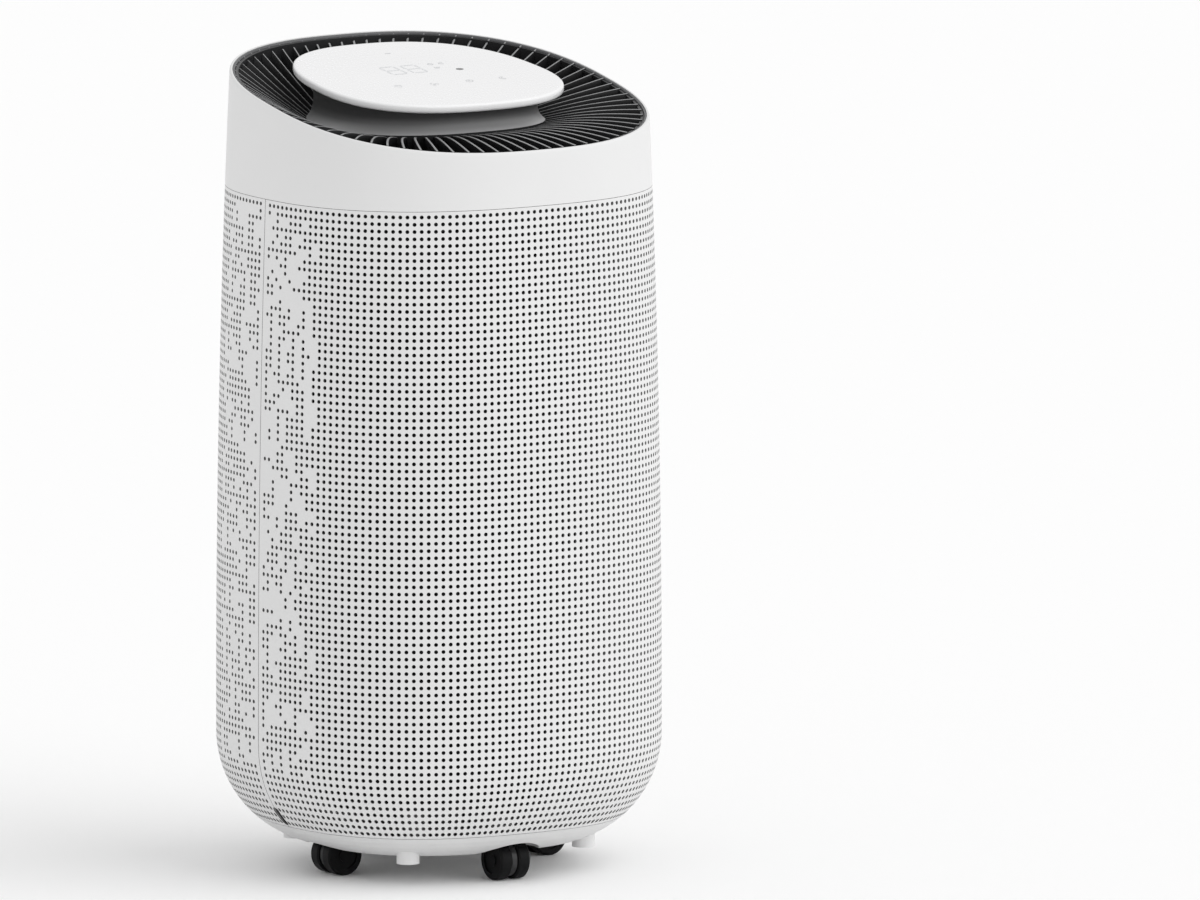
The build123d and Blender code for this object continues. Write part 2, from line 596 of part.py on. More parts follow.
# ------------------------------------------------------------ electronics beside the chassis
board = box(96.2, 98.2, -48, 48, 140, 250)
save(board, "main_board")
parts_list = [box(98.2, 112, -40, -14, 150, 182), box(98.2, 108, 2, 30, 200, 236)]
for y, z in ((-30, 205), (-12, 205), (-30, 228)):
    parts_list.append(cyl_x(7.0, 98.2, 118.0, y, z))
save(group(parts_list), "board_components")
cvr = box(96.2, 124, -52, 52, 134, 256) - box(95, 122, -50, 50, 136, 254)
save(cvr, "board_cover")
sensor = box(-120, -96.2, -22, 22, 200, 246)
sensor -= cyl_x(6.0, -125, -110, 0, 223)
save(sensor, "air_sensor")
sw = box(100, 112, -26, -23, 284.2, 296) + box(103, 109, -30, -26, 288, 292)
save(sw, "panel_switch")
print("done")
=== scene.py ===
import json
import math
import random

import bpy
import numpy as np
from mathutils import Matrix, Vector


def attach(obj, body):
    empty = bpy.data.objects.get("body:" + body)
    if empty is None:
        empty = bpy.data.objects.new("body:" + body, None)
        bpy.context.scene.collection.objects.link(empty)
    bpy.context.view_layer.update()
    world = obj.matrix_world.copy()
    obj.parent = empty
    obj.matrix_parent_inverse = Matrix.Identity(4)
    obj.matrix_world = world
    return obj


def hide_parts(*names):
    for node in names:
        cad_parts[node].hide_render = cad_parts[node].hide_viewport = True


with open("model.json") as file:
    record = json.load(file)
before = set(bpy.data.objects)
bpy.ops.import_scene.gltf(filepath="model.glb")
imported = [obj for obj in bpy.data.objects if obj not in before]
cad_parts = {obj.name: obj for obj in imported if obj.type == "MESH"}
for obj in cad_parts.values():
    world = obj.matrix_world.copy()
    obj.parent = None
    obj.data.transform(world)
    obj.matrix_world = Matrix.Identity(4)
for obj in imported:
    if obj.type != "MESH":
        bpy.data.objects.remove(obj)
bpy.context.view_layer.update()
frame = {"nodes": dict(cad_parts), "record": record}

MM = 0.001
scene = bpy.context.scene

# ------------------------------------------------------------------ camera
AZ, EL = math.radians(-33.14), math.radians(8.107)
back = Vector((math.sin(AZ) * math.cos(EL), -math.cos(AZ) * math.cos(EL), math.sin(EL)))
right = Vector((math.cos(AZ), math.sin(AZ), 0.0))
up = Vector((-math.sin(AZ) * math.sin(EL), math.cos(AZ) * math.sin(EL), math.cos(EL)))
DIST = 28.0
cam_data = bpy.data.cameras.new("camera")
cam_data.type = "PERSP"
cam_data.sensor_width = 36.0
cam_data.lens = 36.0 * DIST / 0.840
cam_data.clip_start = 1.0
cam_data.clip_end = 200.0
cam = bpy.data.objects.new("camera", cam_data)
scene.collection.objects.link(cam)
cam.location = back * DIST + right * 0.11266 + up * 0.2893
cam.rotation_mode = "QUATERNION"
cam.rotation_quaternion = back.to_track_quat("Z", "Y")
scene.camera = cam
scene.view_settings.view_transform = "Standard"
scene.view_settings.look = "None"
scene.view_settings.exposure = 0.0

# ------------------------------------------------------------------ the body's form (mm), as in the CAD
SEC_N, RATIO = 2.479, 0.9337
PANEL_Z0, PANEL_Z1, PANEL_T = 36.3, 479.7, 2.2
RIM_Z, RIM_K = 545.4, 0.2018
POD_YC, POD_A, POD_B, POD_EGG, POD_Z, POD_K, POD_T = 18.8, 91.8, 83.6, 0.075, 553.3, 0.140, 6.0
PED_YC, PED_A, PED_B = 21.6, 81.0, 73.5
FOOT_Z, FOOT_K = 523.2, 0.02
RING_OUT, RING_IN = 1.90, 3.7


def half_width(z):
    z = np.asarray(z, float)
    s = np.clip((95.0 - z) / 78.0, 0.0, 1.0)
    low = 150.0 - 74.6 * (1.0 - np.sqrt(1.0 - s * s))
    high = 150.0 - 4.8e-5 * (np.maximum(z, 115.0) - 115.0) ** 2
    return np.where(z < 95.0, low, high)


def sec_polar(a, b, th):
    c, s = np.cos(th), np.sin(th)
    r = (np.abs(c / a) ** SEC_N + np.abs(s / b) ** SEC_N) ** (-1.0 / SEC_N)
    return r * c, r * s


# arc length along the front half of the unit section, from the seam at -X to the seam at +X
_th = np.linspace(-math.pi, 0.0, 8001)
_ux, _uy = sec_polar(1.0, RATIO, _th)
_arc = np.concatenate([[0.0], np.cumsum(np.hypot(np.diff(_ux), np.diff(_uy)))])
HALF = float(_arc[-1])


def on_section(s_unit, z, inset):
    """Points at unit arc length s_unit from the -X seam on the front half, at height z, moved in by inset."""
    th = np.interp(s_unit, _arc, _th)
    a = half_width(z)
    x, y = sec_polar(a - inset, a * RATIO - inset, th)
    return x, y


# ------------------------------------------------------------------ materials
def new_mat(name):
    m = bpy.data.materials.new(name)
    m.use_nodes = True
    nt = m.node_tree
    bsdf = next(n for n in nt.nodes if n.type == "BSDF_PRINCIPLED")
    return m, nt, bsdf


def plastic(name, col, rough, var=0.03, bump=0.05, scale=900.0, spec=0.5, rough_var=0.06, coat=0.0, metallic=0.0, stretch=None):
    m, nt, b = new_mat(name)
    tex = nt.nodes.new("ShaderNodeTexCoord")
    mp = nt.nodes.new("ShaderNodeMapping")
    if stretch:
        mp.inputs["Scale"].default_value = stretch
    nt.links.new(tex.outputs["Object"], mp.inputs["Vector"])
    fine = nt.nodes.new("ShaderNodeTexNoise")
    fine.inputs["Scale"].default_value = scale
    fine.inputs["Detail"].default_value = 3.0
    nt.links.new(mp.outputs["Vector"], fine.inputs["Vector"])
    big = nt.nodes.new("ShaderNodeTexNoise")
    big.inputs["Scale"].default_value = 9.0
    big.inputs["Detail"].default_value = 2.0
    nt.links.new(mp.outputs["Vector"], big.inputs["Vector"])
    ramp = nt.nodes.new("ShaderNodeValToRGB")
    lo = [max(0.0, c * (1.0 - var)) for c in col]
    hi = [min(1.0, c * (1.0 + var)) for c in col]
    ramp.color_ramp.elements[0].position = 0.3
    ramp.color_ramp.elements[1].position = 0.7
    ramp.color_ramp.elements[0].color = (*lo, 1)
    ramp.color_ramp.elements[1].color = (*hi, 1)
    nt.links.new(big.outputs["Fac"], ramp.inputs["Fac"])
    nt.links.new(ramp.outputs["Color"], b.inputs["Base Color"])
    rr = nt.nodes.new("ShaderNodeMapRange")
    rr.inputs["To Min"].default_value = max(0.02, rough - rough_var)
    rr.inputs["To Max"].default_value = min(1.0, rough + rough_var)
    nt.links.new(fine.outputs["Fac"], rr.inputs["Value"])
    nt.links.new(rr.outputs["Result"], b.inputs["Roughness"])
    if bump > 0:
        bp = nt.nodes.new("ShaderNodeBump")
        bp.inputs["Strength"].default_value = bump
        bp.inputs["Distance"].default_value = 0.0003
        nt.links.new(fine.outputs["Fac"], bp.inputs["Height"])
        nt.links.new(bp.outputs["Normal"], b.inputs["Normal"])
    b.inputs["Specular IOR Level"].default_value = spec
    b.inputs["Metallic"].default_value = metallic
    b.inputs["Coat Weight"].default_value = coat
    return m


def woven(name, col, cell=0.0012, rough=0.85, dark=0.35):
    m, nt, b = new_mat(name)
    tex = nt.nodes.new("ShaderNodeTexCoord")
    wx = nt.nodes.new("ShaderNodeTexWave")
    wx.bands_direction = "X"
    wz = nt.nodes.new("ShaderNodeTexWave")
    wz.bands_direction = "Z"
    for w in (wx, wz):
        w.inputs["Scale"].default_value = 1.0 / cell / 3.0
        w.inputs["Distortion"].default_value = 0.4
        nt.links.new(tex.outputs["Object"], w.inputs["Vector"])
    mix = nt.nodes.new("ShaderNodeMath")
    mix.operation = "MAXIMUM"
    nt.links.new(wx.outputs["Fac"], mix.inputs[0])
    nt.links.new(wz.outputs["Fac"], mix.inputs[1])
    ramp = nt.nodes.new("ShaderNodeValToRGB")
    ramp.color_ramp.elements[0].color = (*[c * dark for c in col], 1)
    ramp.color_ramp.elements[1].color = (*col, 1)
    nt.links.new(mix.outputs[0], ramp.inputs["Fac"])
    nt.links.new(ramp.outputs["Color"], b.inputs["Base Color"])
    bp = nt.nodes.new("ShaderNodeBump")
    bp.inputs["Strength"].default_value = 0.4
    bp.inputs["Distance"].default_value = 0.0004
    nt.links.new(mix.outputs[0], bp.inputs["Height"])
    nt.links.new(bp.outputs["Normal"], b.inputs["Normal"])
    b.inputs["Roughness"].default_value = rough
    b.inputs["Sheen Weight"].default_value = 0.2
    return m


M = {
    "white_body": plastic("white_body_mat", (0.745, 0.745, 0.745), 0.46, var=0.012, bump=0.06, scale=1600.0),
    # painted shade: the hole walls, seam edges and panel edges are the same white plastic, coloured dark grey for the
    # shade inside the holes, gaps and finger slot
    "painted_shade_hole_wall": plastic("painted_shade_hole_wall_mat", (0.26, 0.26, 0.26), 0.6, var=0.03, bump=0.05, scale=1600.0),
    "white_gloss": plastic("white_cover_mat", (0.86, 0.86, 0.865), 0.26, var=0.008, bump=0.015, scale=700.0, coat=0.15),
    "grey_pedestal": plastic("pedestal_painted_light_and_shade_mat", (0.56, 0.56, 0.565), 0.40, var=0.02, bump=0.05, scale=1500.0),
    "ring_satin": plastic("ring_mat", (0.065, 0.066, 0.07), 0.30, var=0.05, bump=0.02, scale=1200.0, spec=0.6),
    "black_plastic": plastic("black_mat", (0.014, 0.014, 0.015), 0.42, var=0.08, bump=0.08, scale=1400.0),
    "fin": plastic("fin_mat", (0.012, 0.012, 0.013), 0.36, var=0.08, bump=0.04, scale=1400.0),
    # painted highlight: the fins are black plastic; their chamfered tops are coloured light grey for the light they
    # catch
    "fin_edge": plastic("fin_edge_painted_highlight_mat", (0.31, 0.312, 0.316), 0.40, var=0.08, bump=0.03, scale=1400.0),
    "dark_window": plastic("window_mat", (0.012, 0.012, 0.016), 0.10, var=0.05, bump=0.0, coat=0.3),
    "wheel_black": plastic("wheel_mat", (0.005, 0.005, 0.0055), 0.50, var=0.1, bump=0.06, scale=1100.0, spec=0.12),
    "steel": plastic("steel_mat", (0.55, 0.55, 0.57), 0.30, var=0.05, bump=0.04, scale=700.0, metallic=1.0, stretch=(1, 1, 8)),
    "brass": plastic("pin_mat", (0.62, 0.50, 0.25), 0.25, var=0.06, bump=0.02, scale=900.0, metallic=1.0),
    "frame_grey": plastic("frame_grey_mat", (0.10, 0.103, 0.108), 0.50, var=0.06, bump=0.10, scale=1300.0),
    "filter_frame": plastic("filter_frame_mat", (0.020, 0.020, 0.022), 0.48, var=0.08, bump=0.10, scale=1500.0),
    "filter_media": plastic("media_mat", (0.80, 0.80, 0.78), 0.85, var=0.03, bump=0.45, scale=1800.0),
    "foam": plastic("foam_mat", (0.10, 0.10, 0.105), 0.95, var=0.25, bump=0.8, scale=1500.0),
    "fabric_tab": woven("tab_mat", (0.72, 0.72, 0.70)),
    "mesh_dark": woven("mesh_mat", (0.030, 0.030, 0.032), cell=0.0010, rough=0.8),
    "pcb": plastic("pcb_mat", (0.012, 0.10, 0.035), 0.35, var=0.25, bump=0.1, scale=500.0),
    "motor_metal": plastic("motor_mat", (0.22, 0.225, 0.235), 0.35, var=0.05, bump=0.05, scale=900.0, metallic=0.7),
    "mark": plastic("mark_mat", (0.50, 0.51, 0.53), 0.35, var=0.04, bump=0.0),
    "mark_faint": plastic("mark_faint_mat", (0.70, 0.71, 0.725), 0.35, var=0.02, bump=0.0),
    # painted shadow: a near-black colour for pieces whose slot is shadow, standing in for the shade in a recess
    "shadow": plastic("pocket_painted_shadow_mat", (0.03, 0.03, 0.032), 0.7, var=0.1, bump=0.05),
}


def paint_pedestal_light_and_shade(m, keys):
    """Painted light and shade by the height above the pedestal's slanted foot, 0 at the foot and 1 at the cover: pale
    at the foot as if lit, near-black at the neck as if in the cover's shade.
    """
    nt = m.node_tree
    b = next(n for n in nt.nodes if n.type == "BSDF_PRINCIPLED")
    tex = nt.nodes.new("ShaderNodeTexCoord")
    sep = nt.nodes.new("ShaderNodeSeparateXYZ")
    nt.links.new(tex.outputs["Object"], sep.inputs["Vector"])
    slope = nt.nodes.new("ShaderNodeMath")
    slope.operation = "MULTIPLY"
    slope.inputs[1].default_value = -FOOT_K
    nt.links.new(sep.outputs["Y"], slope.inputs[0])
    add = nt.nodes.new("ShaderNodeMath")
    add.operation = "ADD"
    nt.links.new(sep.outputs["Z"], add.inputs[0])
    nt.links.new(slope.outputs[0], add.inputs[1])
    rng = nt.nodes.new("ShaderNodeMapRange")
    rng.inputs["From Min"].default_value = FOOT_Z * MM
    rng.inputs["From Max"].default_value = (FOOT_Z + 19.0) * MM
    nt.links.new(add.outputs[0], rng.inputs["Value"])
    ramp = nt.nodes.new("ShaderNodeValToRGB")
    el = ramp.color_ramp.elements
    while len(el) < len(keys):
        el.new(0.5)
    for e, (t, g) in zip(el, keys):
        e.position = t
        e.color = (g, g, g * 1.01, 1)
    nt.links.new(rng.outputs["Result"], ramp.inputs["Fac"])
    nt.links.new(ramp.outputs["Color"], b.inputs["Base Color"])


# painted light and shade on the pedestal's colour: pale at the flared foot where light falls, dark at the neck in the
# shade under the cover
paint_pedestal_light_and_shade(M["grey_pedestal"], [(0.0, 0.50), (0.14, 0.36), (0.38, 0.15), (0.62, 0.085), (1.0, 0.10)])
slot_of = {s["node"]: s["material_slot"] for s in frame["record"]["subparts"]}
for node, obj in frame["nodes"].items():
    mat = M[slot_of[node]]
    if not obj.material_slots:
        obj.data.materials.append(mat)
    for ms in obj.material_slots:
        ms.material = mat


# ------------------------------------------------------------------ mesh helpers
def make_obj(name, verts, faces, mat, smooth=True, flat_from=None):
    me = bpy.data.meshes.new(name)
    me.from_pydata([tuple(v) for v in verts], [], [tuple(f) for f in faces])
    me.update()
    if smooth:
        me.polygons.foreach_set("use_smooth", [True] * len(me.polygons))
        if flat_from is not None:
            me.set_sharp_from_angle(angle=math.radians(flat_from))
    me.materials.append(mat)
    ob = bpy.data.objects.new(name, me)
    scene.collection.objects.link(ob)
    return ob


def ring_points(a, b, zf, yc=0.0, egg=0.0, n=240):
    th = 2 * math.pi * (np.arange(n) + 0.5) / n
    x, y = sec_polar(a, b, th)
    x = x * (1.0 - egg * (y / b))
    y = y + yc
    return np.stack([x, y, zf(y)], 1)


def rings_mesh(name, rings, mat, close_first=False, close_last=False, loop=False, flat_from=35):
    """Closed bands between successive rings of points (mm)."""
    n = len(rings[0])
    verts = np.concatenate(rings) * MM
    faces = []
    m = len(rings)
    pairs = [(i, i + 1) for i in range(m - 1)] + ([(m - 1, 0)] if loop else [])
    for i, j in pairs:
        for k in range(n):
            k2 = (k + 1) % n
            faces.append((i * n + k, i * n + k2, j * n + k2, j * n + k))
    verts = [tuple(v) for v in verts]
    if close_first:
        faces.append(tuple(range(n - 1, -1, -1)))
    if close_last:
        faces.append(tuple((m - 1) * n + k for k in range(n)))
    return make_obj(name, verts, faces, mat, True, flat_from)


# ------------------------------------------------------------------ perforated half-panels
COLS, ROWS = 90, 87
PITCH_S = 0.034591
PITCH_Z = 5.075
TOP_Z = 476.1
HOLE_R = 1.45
HOLE_DEEP = 1.2
MARGIN = (HALF - (COLS - 1) * PITCH_S) / 2.0
S_EDGE = MARGIN - PITCH_S / 2.0
SLOT_R, SLOT_Z0, SLOT_Z1 = 3.5, 37.6, 51.0


def hole_map(seed):
    """Which cells are drilled: all but a random maze of blanks beside each seam."""
    rnd = random.Random(seed)
    g = np.ones((ROWS, COLS), bool)
    zone = 11
    for side in (0, 1):
        for c in range(zone):
            col = c if side == 0 else COLS - 1 - c
            on = rnd.random() < 0.5
            fill = 0.52 + 0.034 * c
            for r in range(1, ROWS - 8):
                near = g[r - 1, col]
                keep = 0.74 if near else 0.42
                keep = keep * (0.55 + 0.9 * fill) * 0.82
                on = rnd.random() < min(0.97, keep)
                g[r, col] = on
        # a few solid runs along a row, so that the blanks read as a maze
        for _ in range(34):
            r = rnd.randrange(1, ROWS - 9)
            c0 = rnd.randrange(0, zone - 3)
            ln = rnd.randrange(2, 5)
            for c in range(c0, min(zone, c0 + ln)):
                col = c if side == 0 else COLS - 1 - c
                g[r, col] = rnd.random() < 0.5 or g[r, col]
    return g


def panel_meshes(name, sign, seed):
    """sign -1: front half (as on_section gives it); +1: rear half, turned by half a turn."""
    g = hole_map(seed)
    z_rows = TOP_Z - PITCH_Z * np.arange(ROWS)
    s_cols = MARGIN + PITCH_S * np.arange(COLS)
    z_edges = np.concatenate([[TOP_Z + PITCH_Z / 2], z_rows - PITCH_Z / 2])
    s_edges = S_EDGE + PITCH_S * np.arange(COLS + 1)
    z_edges[-1] = max(z_edges[-1], PANEL_Z0 + 0.3)

    def place(s, z, inset):
        x, y = on_section(s, z, inset)
        if sign > 0:
            x, y = -x, -y
        return np.stack([x, y, z + 0.0 * x], -1).reshape(-1, 3) * MM

    def skin(inset, walls):
        verts, faces = [], []
        base = 0
        # lattice corners
        S, Z = np.meshgrid(s_edges, z_edges)
        lat = place(S.ravel(), Z.ravel(), inset)
        verts.append(lat)
        base = len(lat)
        nc = COLS + 1

        def cid(r, c):
            return r * nc + c

        ang = 2 * math.pi * (np.arange(8) + 0.5) / 8
        rr, cc = np.nonzero(g)
        zc = z_rows[rr]
        aw = half_width(zc)
        sc = s_cols[cc]
        hs = sc[:, None] + (HOLE_R * np.cos(ang))[None, :] / aw[:, None]
        hz = zc[:, None] + (HOLE_R * np.sin(ang))[None, :]
        ring = place(hs.ravel(), hz.ravel(), inset)
        verts.append(ring)
        ring0 = base
        base += len(ring)
        # corner order: (+s,+z), (-s,+z), (-s,-z), (+s,-z)
        for k in range(len(rr)):
            r, c = int(rr[k]), int(cc[k])
            q = [cid(r, c + 1), cid(r, c), cid(r + 1, c), cid(r + 1, c + 1)]
            h = [ring0 + 8 * k + j for j in range(8)]
            for s4 in range(4):
                a0, a1 = h[2 * s4], h[2 * s4 + 1]
                a2 = h[(2 * s4 + 2) % 8]
                faces.append((q[s4], a1, a0))
                faces.append((q[s4], q[(s4 + 1) % 4], a2, a1))
        br, bc = np.nonzero(~g)
        for k in range(len(br)):
            r, c = int(br[k]), int(bc[k])
            faces.append((cid(r, c), cid(r, c + 1), cid(r + 1, c + 1), cid(r + 1, c))[::-1])
        # plain strips: above the top row, below the last row, and beside each seam
        gap_s = 0.25
        zs_strip = sorted(set([PANEL_Z1, PANEL_Z0] + list(z_edges)
                              + [SLOT_Z0 + SLOT_R * (1 - math.cos(t)) for t in np.linspace(0, math.pi / 2, 6)]
                              + [SLOT_Z1 - SLOT_R * (1 - math.cos(t)) for t in np.linspace(0, math.pi / 2, 6)]), reverse=True)
        zs = np.array(zs_strip)

        def seam_half(z):
            w = np.full_like(z, gap_s)
            lo, hi = SLOT_Z0 + SLOT_R, SLOT_Z1 - SLOT_R
            d = np.where(z < lo, lo - z, np.where(z > hi, z - hi, 0.0))
            inside = (z >= SLOT_Z0) & (z <= SLOT_Z1)
            return np.where(inside, np.maximum(w, np.sqrt(np.maximum(0.0, SLOT_R ** 2 - d ** 2))), w)

        seam_s = seam_half(zs) / half_width(zs)
        for side in (0, 1):
            if side == 0:
                e0, e1 = seam_s, np.full_like(zs, s_edges[0])
            else:
                e0, e1 = np.full_like(zs, s_edges[-1]), HALF - seam_s
            p0, p1 = place(e0, zs, inset), place(e1, zs, inset)
            verts.append(p0)
            verts.append(p1)
            n = len(zs)
            for i in range(n - 1):
                faces.append((base + i, base + i + 1, base + n + i + 1, base + n + i))
            base += 2 * n
        for za, zb in ((PANEL_Z1, z_edges[0]), (z_edges[-1], PANEL_Z0)):
            pa, pb = place(s_edges, np.full(nc, za), inset), place(s_edges, np.full(nc, zb), inset)
            verts.append(pa)
            verts.append(pb)
            for i in range(nc - 1):
                faces.append((base + i, base + nc + i, base + nc + i + 1, base + i + 1))
            base += 2 * nc
        wv, wf = [], []
        if walls:
            n0 = 0
            ring_in = place(hs.ravel(), hz.ravel(), HOLE_DEEP)
            wv.append(ring)
            wv.append(ring_in)
            m = len(ring)
            for k in range(len(rr)):
                for j in range(8):
                    a, b = 8 * k + j, 8 * k + (j + 1) % 8
                    wf.append((a, b, m + b, m + a))
            n0 = 2 * m
            for side in (0, 1):
                e = seam_s if side == 0 else HALF - seam_s
                po, pi = place(e, zs, 0.0), place(e, zs, PANEL_T)
                wv.append(po)
                wv.append(pi)
                n = len(zs)
                for i in range(n - 1):
                    wf.append((n0 + i, n0 + n + i, n0 + n + i + 1, n0 + i + 1))
                n0 += 2 * n
            for z in (PANEL_Z1, PANEL_Z0):
                sx = np.concatenate([[gap_s / 150], s_edges, [HALF - gap_s / 150]])
                po, pi = place(sx, np.full(len(sx), z), 0.0), place(sx, np.full(len(sx), z), PANEL_T)
                wv.append(po)
                wv.append(pi)
                n = len(sx)
                for i in range(n - 1):
                    wf.append((n0 + i, n0 + i + 1, n0 + n + i + 1, n0 + n + i))
                n0 += 2 * n
        return np.concatenate(verts), faces, (np.concatenate(wv) if walls else None), wf

    v, f, wv, wf = skin(0.0, True)
    body = name + "_body"
    outer = make_obj(name + "_skin", v, f, M["white_body"], True)
    # hole, seam and edge walls take the dark grey material, which is painted shade inside the holes and gaps
    wall = make_obj(name + "_hole_walls", wv, wf, M["painted_shade_hole_wall"], False)
    vi, fi, _, _ = skin(HOLE_DEEP, False)
    inner = make_obj(name + "_inner_face", vi, [q[::-1] for q in fi], M["white_body"], True)
    for o in (outer, wall, inner):
        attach(o, body)
    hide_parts(name)
    return outer


panel_meshes("front_panel", -1, 11)
panel_meshes("rear_panel", 1, 29)


# ------------------------------------------------------------------ collar and rim ring
def rim_plane(d):
    return lambda y: RIM_Z + RIM_K * y + d


def skin_at_plane(inset, d, n=240):
    """Points of the skin moved in by inset, on the plane d above the rim plane."""
    th = 2 * math.pi * (np.arange(n) + 0.5) / n
    z = np.full(n, RIM_Z)
    for _ in range(6):
        a = half_width(z)
        x, y = sec_polar(a - inset, a * RATIO - inset, th)
        z = RIM_Z + RIM_K * y + d
    return np.stack([x, y, z], 1)


def skin_at_z(inset, z0, n=240):
    a = float(half_width(z0))
    th = 2 * math.pi * (np.arange(n) + 0.5) / n
    x, y = sec_polar(a - inset, a * RATIO - inset, th)
    return np.stack([x, y, np.full(n, z0)], 1)


def mix(p, q, t):
    return p * (1 - t) + q * t


def body_line(inset, top_d, steps):
    """Rings from the collar's lower edge to the slanted mouth, on the body's skin."""
    lo = skin_at_z(inset, 480.0)
    hi = skin_at_plane(inset, top_d)
    out = []
    n = len(lo)
    th = 2 * math.pi * (np.arange(n) + 0.5) / n
    for t in np.linspace(0, 1, steps):
        z = lo[:, 2] * (1 - t) + hi[:, 2] * t
        a = half_width(z)
        x, y = sec_polar(a - inset, a * RATIO - inset, th)
        out.append(np.stack([x, y, z], 1))
    return out


rings = [skin_at_z(2.5, 480.0), skin_at_z(0.5, 480.0), skin_at_z(0.12, 480.12)]
rings += body_line(0.0, -1.9, 9)
for t in (20, 40, 60, 78):
    a = math.radians(t)
    rings.append(skin_at_plane(1.15 * (1 - math.cos(a)) , -1.9 + 1.9 * math.sin(a)))
rings += [skin_at_plane(1.25, 0.0), skin_at_plane(RING_OUT, -0.15), skin_at_plane(RING_OUT, -6.0), skin_at_plane(2.5, -6.0)]
rings += [skin_at_z(2.5, 484.0)]
collar = rings_mesh("top_collar_skin", rings, M["white_body"], loop=True, flat_from=50)
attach(collar, "main")
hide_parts("top_collar")

rings = [skin_at_plane(RING_OUT + 0.12, -5.9), skin_at_plane(RING_OUT + 0.12, -0.75), skin_at_plane(RING_OUT + 0.35, -0.5),
         skin_at_plane(RING_OUT + 0.7, -0.35), skin_at_plane(RING_IN - 0.6, -0.5), skin_at_plane(RING_IN - 0.25, -0.85),
         skin_at_plane(RING_IN, -1.4), skin_at_plane(RING_IN, -5.9)]
ring = rings_mesh("rim_ring_satin", rings, M["ring_satin"], loop=True, flat_from=60)
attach(ring, "main")
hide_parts("rim_ring")

# ------------------------------------------------------------------ outlet grille
FIN_COUNT, FIN_T, FIN_H = 76, 1.5, 9.0
SWEEP = math.radians(4.0)


def sec1(a, b, th):
    x, y = sec_polar(a, b, np.array([th]))
    return float(x[0]), float(y[0])


def fin_points(i, steps=12):
    th0 = 2 * math.pi * i / FIN_COUNT
    a = float(half_width(RIM_Z))
    ox, oy = sec1(a - RING_IN - 0.2, a * RATIO - RING_IN - 0.2, th0)
    ix, iy = sec1(PED_A * 0.985, PED_B * 0.985, th0 + SWEEP)
    ix *= 1.0 - POD_EGG * (iy / (PED_B * 0.985))
    iy += PED_YC
    dx, dy = ix - ox, iy - oy
    ln = math.hypot(dx, dy)
    nx, ny = -dy / ln, dx / ln
    rows = []
    for j in range(steps + 1):
        u = j / steps
        bow = 0.03 * ln * 4 * u * (1 - u)
        rows.append((ox + dx * u + nx * bow, oy + dy * u + ny * bow, u))
    return rows


fv, ff, ev, ef = [], [], [], []
for i in range(FIN_COUNT):
    rows = fin_points(i)
    n = len(rows)
    b0, e0 = len(fv), len(ev)
    for j, (x, y, u) in enumerate(rows):
        xa, ya, _ = rows[max(0, j - 1)]
        xb, yb, _ = rows[min(n - 1, j + 1)]
        tx, ty = xb - xa, yb - ya
        tl = math.hypot(tx, ty)
        px, py = -ty / tl * FIN_T / 2, tx / tl * FIN_T / 2
        zt = (RIM_Z + RIM_K * y - 0.7) * (1 - u) + (FOOT_Z + FOOT_K * y - 1.5) * u
        h = FIN_H
        c = 0.35
        fv += [(x - px, y - py, zt - h), (x - px, y - py, zt - c), (x + px, y + py, zt - c), (x + px, y + py, zt - h)]
        ev += [(x - px, y - py, zt - c), (x - px * 0.5, y - py * 0.5, zt), (x + px * 0.5, y + py * 0.5, zt), (x + px, y + py, zt - c)]
    for j in range(n - 1):
        p, q = b0 + 4 * j, b0 + 4 * (j + 1)
        ff += [(p, p + 1, q + 1, q), (p + 3, q + 3, q + 2, p + 2), (p, q, q + 3, p + 3)]
        p, q = e0 + 4 * j, e0 + 4 * (j + 1)
        ef += [(p, p + 1, q + 1, q), (p + 1, p + 2, q + 2, q + 1), (p + 2, p + 3, q + 3, q + 2)]
fins = make_obj("grille_fins", np.array(fv) * MM, ff, M["fin"], False)
# the chamfered fin tops get the light grey material, a painted highlight on the black fins
edges = make_obj("grille_fin_edges_painted_highlight", np.array(ev) * MM, ef, M["fin_edge"], True, 40)


def ped_ring(scale, d, n=240):
    return ring_points(PED_A * scale, PED_B * scale, lambda y: FOOT_Z + FOOT_K * y + d, PED_YC, POD_EGG, n)


band = rings_mesh("grille_band", [skin_at_plane(RING_IN + 0.3, -1.75), skin_at_plane(RING_IN + 2.2, -1.75),
                                  skin_at_plane(RING_IN + 2.2, -19.5), skin_at_plane(RING_IN + 0.3, -19.5)],
                  M["fin"], loop=True)
hub = rings_mesh("grille_hub", [ped_ring(1.0, 0.1), ped_ring(0.93, 0.1), ped_ring(0.93, -11.8),
                                ped_ring(1.0, -11.8)], M["fin"], loop=True)
for o in (fins, edges, band, hub):
    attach(o, "main")
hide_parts("outlet_grille")

# ------------------------------------------------------------------ pod
zp0 = FOOT_Z + FOOT_K * PED_YC + 0.15
zp1 = POD_Z + POD_K * PED_YC - POD_T


def slanted(a, b, z0, k, yc, n=240):
    return ring_points(a, b, lambda y: z0 + k * (y - yc), yc, POD_EGG, n)


def profile(keys, t):
    xs = [k[0] for k in keys]
    return float(np.interp(t, xs, [k[1] for k in keys]))


lv = [(0.0, 1.0), (0.06, 0.982), (0.15, 0.962), (0.21, 0.953), (0.28, 0.946), (0.36, 0.941), (0.45, 0.938), (0.53, 0.939), (0.62, 0.942),
      (0.71, 0.948), (0.8, 0.958), (0.9, 0.970), (1.0, 0.985)]
rings = []
for u, s in lv:
    k = FOOT_K + (POD_K - FOOT_K) * u
    rings.append(slanted(PED_A * s, PED_B * s, zp0 + (zp1 - zp0) * u, k, PED_YC))
pedestal = rings_mesh("pod_pedestal_skin", rings, M["grey_pedestal"], flat_from=60)
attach(pedestal, "main")
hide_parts("pod_pedestal")

zt = POD_Z + POD_K * POD_YC


def cov(inset, dz):
    return slanted(POD_A - inset, POD_B - inset, zt + dz, POD_K, POD_YC)


